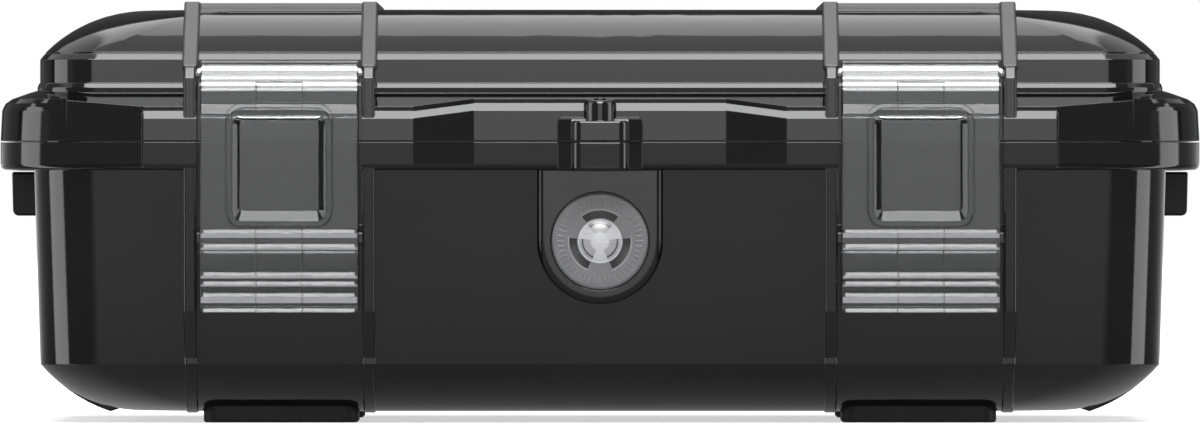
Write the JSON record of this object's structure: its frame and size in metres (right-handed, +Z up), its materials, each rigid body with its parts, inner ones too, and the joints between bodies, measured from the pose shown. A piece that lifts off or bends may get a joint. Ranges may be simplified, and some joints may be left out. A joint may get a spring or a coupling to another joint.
{
  "type": "hard case",
  "caption": "Low black hard case with a domed lid, ribbed shell, clear front latches, a padlock lug, a pressure valve, rear hinges, strap loops and rubber feet.",
  "frame": {"origin": "centre of the footprint, on the floor under the feet", "axes": "+X to the right as seen from the front, +Y towards the hinges, +Z up; the latches face -Y"},
  "size_m": [0.256, 0.1788, 0.09],
  "materials": {
    "shell": "glossy moulded black plastic",
    "clear": "clear polycarbonate",
    "cap": "translucent grey plastic",
    "steel": "ground stainless pin",
    "rubber": "matt black rubber",
    "fitting": "moulded dark grey plastic",
    "membrane": "thin white vent membrane"
  },
  "bodies": {
    "base": {"base_shell": "shell", "base_liner": "rubber", "front_left_foot": "rubber", "front_right_foot": "rubber", "rear_left_foot": "rubber", "rear_right_foot": "rubber", "valve_cap": "cap", "valve_membrane": "membrane", "valve_body": "fitting", "valve_seal": "rubber", "valve_nut": "fitting", "left_hinge_pin": "steel", "right_hinge_pin": "steel", "left_strap_loop": "shell", "right_strap_loop": "shell"},
    "lid": {"lid_shell": "shell", "lid_gasket": "rubber", "left_latch_pin": "steel", "right_latch_pin": "steel"},
    "left_latch": {"left_latch": "clear"},
    "right_latch": {"right_latch": "clear"}
  },
  "joints": [
    {"name": "lid_hinge", "type": "hinge", "parent": "base", "child": "lid", "pos_m": [0, 0.0849, 0.06], "axis": [-1, 0, 0], "range_deg": [0, 110]},
    {"name": "left_latch_pivot", "type": "hinge", "parent": "lid", "child": "left_latch", "pos_m": [-0.0682, -0.0816, 0.0746], "axis": [-1, 0, 0], "range_deg": [0, 100]},
    {"name": "right_latch_pivot", "type": "hinge", "parent": "lid", "child": "right_latch", "pos_m": [0.0682, -0.0816, 0.0746], "axis": [-1, 0, 0], "range_deg": [0, 100]}
  ]
}
